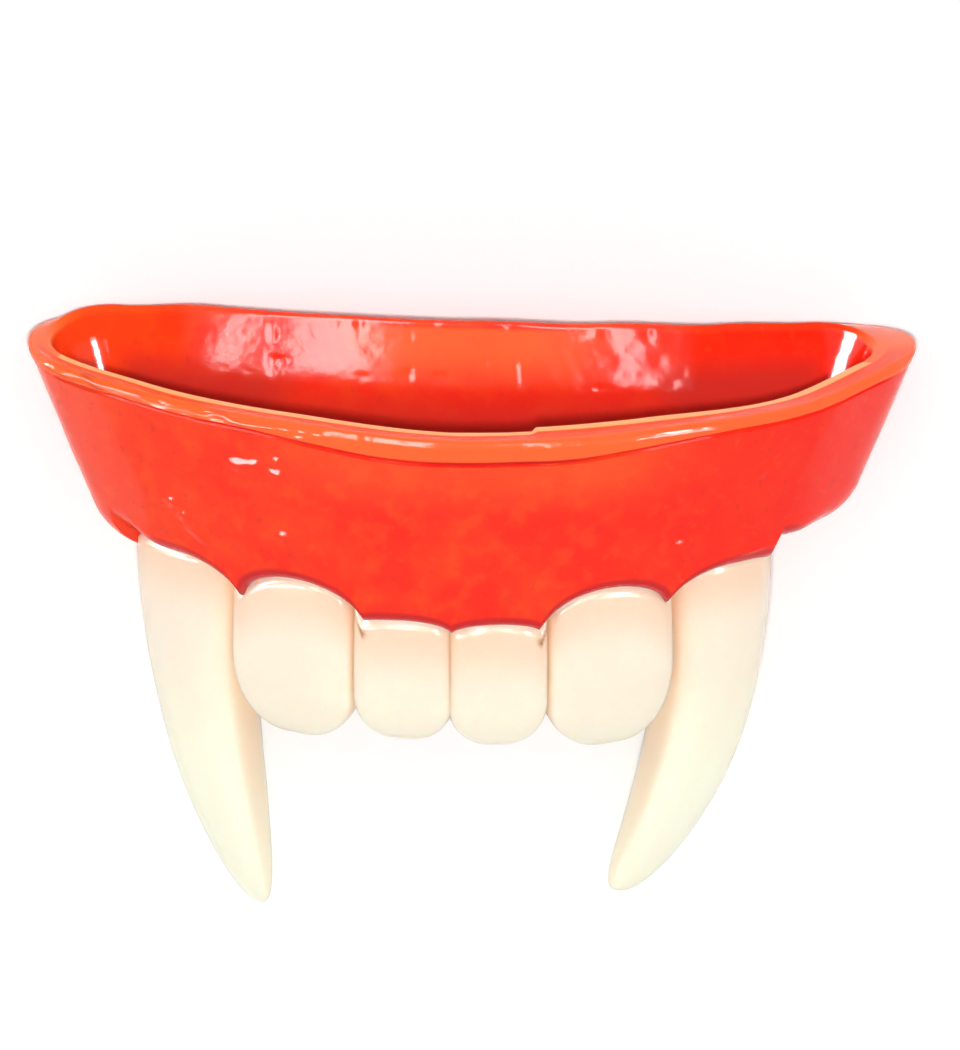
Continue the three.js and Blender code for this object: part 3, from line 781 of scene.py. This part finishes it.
class GumProperties(bpy.types.PropertyGroup):
    """Sizes and colours of the rubber gum."""
    trough_length: length_property("Trough length", "End to end, at the rim", 64.2)
    middle_width: length_property("Middle width", "Front to back at the middle of the rim", 18.6)
    end_width: length_property("End width", "Front to back where the round ends begin", 11.4)
    arch_radius: length_property("Arch radius", "Of the trough's middle line, seen from above", 52)
    front_wall: length_property("Front wall", "Thickness of the front wall at the rim", 2)
    back_wall: length_property("Back wall", "Thickness of the back wall at the rim", 1.8)
    left_end_wall: length_property("Left end wall", "Thickness of the left end at the rim", 1.7)
    right_end_wall: length_property("Right end wall", "Thickness of the right end at the rim", 3.4)
    pocket_depth: length_property("Pocket depth", "From the rim down to the pocket's floor", 9.5)
    bed_height: length_property("Bed height", "From the pocket's floor to the gum between the middle teeth", 6.3)
    gum_colour: colour_property("Gum", "Main colour of the rubber", (0.9, 0.018, 0.006))
    warm_colour: colour_property("Warm gum", "Its more orange patches and left end", (0.92, 0.07, 0.01))
    # Painted light: the rim tint, which also lights the pocket's upper back wall and the front wall's top.
    painted_light_colour: colour_property("Rim", "Colour along the cut rim", (0.95, 0.15, 0.03))
    # Painted highlight along the rim's inner bead.
    bead_highlight_colour: colour_property("Bead", "Pale colour of the rim's inner edge", (1, 0.42, 0.17))
    # Painted shade deep in the pocket, and also the colour of random dark flecks.
    shade_and_fleck_colour: colour_property("Deep gum", "Colour deep in the pocket", (0.5, 0.028, 0.02))
    # Painted shade on the lip over the teeth and under the trim ledge, and the band's dark red streaks.
    painted_shade_and_streaks_colour: colour_property("Rich gum", "Dark red in the creases and along the teeth", (0.58, 0.014, 0.014))


class TeethProperties(bpy.types.PropertyGroup):
    """Sizes and colours of the teeth."""
    tooth_gap: length_property("Tooth gap", "Between neighbouring teeth in the solids", 0.3)
    lip_overhang: length_property("Lip overhang", "From the gum's front back to the teeth", 0.85)
    midline_shift: length_property("Midline shift", "The middle of the teeth to the middle of the trough", -1.4)
    centre_width: length_property("Centre width", "Width of the two centre teeth", 6.3)
    centre_thickness: length_property("Centre thickness", "Thickness of the two centre teeth", 5)
    centre_reach: length_property("Centre reach", "From the gum down to the end of the centre teeth", 9.8)
    side_width: length_property("Side width", "Width of the two side teeth", 9.3)
    side_thickness: length_property("Side thickness", "Thickness of the two side teeth", 6)
    side_reach: length_property("Side reach", "From the gum down to the end of the side teeth", 10.7)
    fang_width: length_property("Fang width", "Width of the fangs", 8)
    fang_thickness: length_property("Fang thickness", "Thickness of the fangs", 6.6)
    fang_reach: length_property("Fang reach", "From the gum down to the tips of the fangs", 27)
    ivory_colour: colour_property("Ivory", "Main colour of the teeth", (0.9, 0.78, 0.64))
    neck_colour: colour_property("Neck", "Peach colour towards the gum", (0.9, 0.63, 0.45))
    tip_colour: colour_property("Tip", "Pale yellow towards the tips", (0.95, 0.93, 0.74))
    flank_colour: colour_property("Flank", "Tan colour between the teeth", (0.82, 0.5, 0.26))
    pit_colour: colour_property("Pit", "Brown colour of the pits beside the centre teeth", (0.4, 0.13, 0.03))


class StageProperties(bpy.types.PropertyGroup):
    """The table, lights and camera."""
    floor_colour: colour_property("Table", "Colour of the pale table", (0.9, 0.9, 0.9))
    camera_height: bpy.props.FloatProperty(name="Camera height", description="Above the plane of the rim",
                                           default=math.radians(27), subtype="ANGLE", unit="ROTATION")
    frame_height: length_property("Frame height", "Height of the picture at the denture", 75)


def aim(azimuth, elevation):
    """The way out at an azimuth to the denture's right and an elevation above its rim's plane, and its turn.

    A thing with that turn looks back along the way, at the denture.
    """
    a, e, tilt = math.radians(azimuth), math.radians(elevation), math.radians(REST_TILT)

    def laid_way(right, front, up):
        return Vector((right, up * math.cos(tilt) - front * math.sin(tilt),
                       up * math.sin(tilt) + front * math.cos(tilt)))

    back = laid_way(math.sin(a) * math.cos(e), math.cos(a) * math.cos(e), math.sin(e))
    right = laid_way(math.cos(a), -math.sin(a), 0)
    return back, Matrix((right, back.cross(right), back)).transposed().to_euler()


# Lamps: azimuth and elevation as the worn denture sees them, breadth and height in degrees, brightness, and
# whether the lamp lights the denture (True) or only shines back from its gloss (False)
LAMPS = (
    ("flash", 0, 25.3, 3, 3, 750, True),
    ("left_window", -12.8, 34, 8.6, 64, 16, False),
    ("right_window", 14.8, 34, 3.8, 64, 17, False),
    ("far_left_window", -22.2, 34, 1.5, 60, 30, False),
    ("right_strip", 41, 24, 9, 14, 80, False),
    ("left_strip", -79, 26, 24, 22, 60, False),
    ("low_left_strip", -45, -3, 22, 14, 24, False),
    ("low_far_left_strip", -67, -4, 18, 16, 24, False),
    ("low_right_strip", 38, -3, 16, 14, 24, False),
)

# In metres: how far off the lamps are, the point that they face, the one that the camera faces, and half the
# table's width
LAMP_DISTANCE = 0.7
MIDDLE = Vector((0, 0, 0.012))
TARGET = Vector((0.00057, 0.009, 0.0146))
TABLE_HALF = 3.0

# The camera's focal length and sensor width in millimetres, and the world's brightness
LENS, SENSOR_WIDTH = 400, 36
WORLD_BRIGHTNESS = 0.6


def add_lamp(name, azimuth, elevation, breadth, height, brightness, lights):
    """A rectangular lamp of a brightness in watts from each square metre and steradian."""
    back, turn = aim(azimuth, elevation)
    lamp = bpy.data.lights.new(name, "AREA")
    lamp.shape = "RECTANGLE"
    lamp.size, lamp.size_y = (2 * LAMP_DISTANCE * math.tan(math.radians(angle / 2)) for angle in (breadth, height))
    lamp.energy = brightness * math.pi * lamp.size * lamp.size_y
    held = bpy.data.objects.new(name, lamp)
    held.location = MIDDLE + back * LAMP_DISTANCE
    held.rotation_euler = turn
    held.visible_camera, held.visible_diffuse, held.visible_glossy = False, lights, not lights
    bpy.context.collection.objects.link(held)


class DENTURE_OT_stage(bpy.types.Operator):
    """Sets the pale table, the soft lights and the camera"""
    bl_idname = "denture.stage"
    bl_label = "Stage"

    def execute(self, context):
        scene, stage = context.scene, context.scene.denture_stage
        scene.view_settings.view_transform = "Standard"
        material, tree, at = new_material("pale_table")
        tone = texture(tree, "ShaderNodeTexNoise", at, {"Scale": 3.0}).outputs[0]
        bright = tuple(stage.floor_colour)
        colour = blend(tree, tone, bright, tuple(0.98 * part for part in bright[:3]) + (1.0,))
        finish_material(tree, {"Base Color": colour, "Roughness": 0.9, "Specular IOR Level": 0.1})
        mesh = bpy.data.meshes.new("table")
        far = TABLE_HALF
        mesh.from_pydata([(-far, -far, 0), (far, -far, 0), (far, far, 0), (-far, far, 0)], [], [(0, 1, 2, 3)])
        mesh.materials.append(material)
        table = bpy.data.objects.new("table", mesh)
        context.collection.objects.link(table)

        world = scene.world or bpy.data.worlds.new("studio")
        scene.world = world
        world.use_nodes = True
        sky = world.node_tree.nodes["Background"]
        sky.inputs[0].default_value = (1, 1, 1, 1)
        sky.inputs[1].default_value = WORLD_BRIGHTNESS
        for lamp in LAMPS:
            add_lamp(*lamp)

        lens = bpy.data.cameras.new("camera")
        lens.lens, lens.sensor_width = LENS, SENSOR_WIDTH
        camera = bpy.data.objects.new("camera", lens)
        back, camera.rotation_euler = aim(0, math.degrees(stage.camera_height))
        camera.location = TARGET + back * (stage.frame_height * lens.lens / lens.sensor_width)
        lens.clip_start, lens.clip_end = 0.01, 20
        context.collection.objects.link(camera)
        scene.camera = camera
        return {"FINISHED"}


def dress(piece, cad_node):
    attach(piece, "root")
    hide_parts(cad_node)


class DENTURE_OT_gum(bpy.types.Operator):
    """Builds the rubber gum trough"""
    bl_idname = "denture.gum"
    bl_label = "Gum"

    def execute(self, context):
        t = sizes()
        dress(make_gum(t, set_teeth(t), gum_material(context.scene.denture_gum)), "gum")
        return {"FINISHED"}


def build_teeth(context, kinds):
    t = sizes()
    teeth = set_teeth(t)
    material = bpy.data.materials.get("waxy_ivory") or tooth_material(context.scene.denture_teeth)
    for tooth in teeth:
        if tooth.kind in kinds:
            dress(make_tooth(t, teeth, tooth, material), tooth.name)


class DENTURE_OT_front_teeth(bpy.types.Operator):
    """Builds the four small front teeth"""
    bl_idname = "denture.front_teeth"
    bl_label = "Front teeth"

    def execute(self, context):
        build_teeth(context, ("centre", "side"))
        return {"FINISHED"}


class DENTURE_OT_fangs(bpy.types.Operator):
    """Builds the two long fangs"""
    bl_idname = "denture.fangs"
    bl_label = "Fangs"

    def execute(self, context):
        build_teeth(context, ("fang",))
        return {"FINISHED"}


OPERATORS = (DENTURE_OT_stage, DENTURE_OT_gum, DENTURE_OT_front_teeth, DENTURE_OT_fangs)


class DENTURE_PT_panel(bpy.types.Panel):
    """Lists the denture's pieces"""
    bl_idname = "DENTURE_PT_panel"
    bl_label = "Vampire fang denture"
    bl_space_type = "VIEW_3D"
    bl_region_type = "UI"
    bl_category = "Denture"

    def draw(self, context):
        for operator in OPERATORS:
            self.layout.operator(operator.bl_idname)


GROUPS = {"denture_gum": GumProperties, "denture_teeth": TeethProperties, "denture_stage": StageProperties}
CLASSES = (*GROUPS.values(), *OPERATORS, DENTURE_PT_panel)


def register():
    for each in CLASSES:
        bpy.utils.register_class(each)
    for key, group in GROUPS.items():
        setattr(bpy.types.Scene, key, bpy.props.PointerProperty(type=group))


def unregister():
    for key in GROUPS:
        delattr(bpy.types.Scene, key)
    for each in reversed(CLASSES):
        bpy.utils.unregister_class(each)


def main():
    register()
    bpy.ops.denture.stage()
    bpy.ops.denture.gum()
    bpy.ops.denture.front_teeth()
    bpy.ops.denture.fangs()


if __name__ == "__main__":
    main()
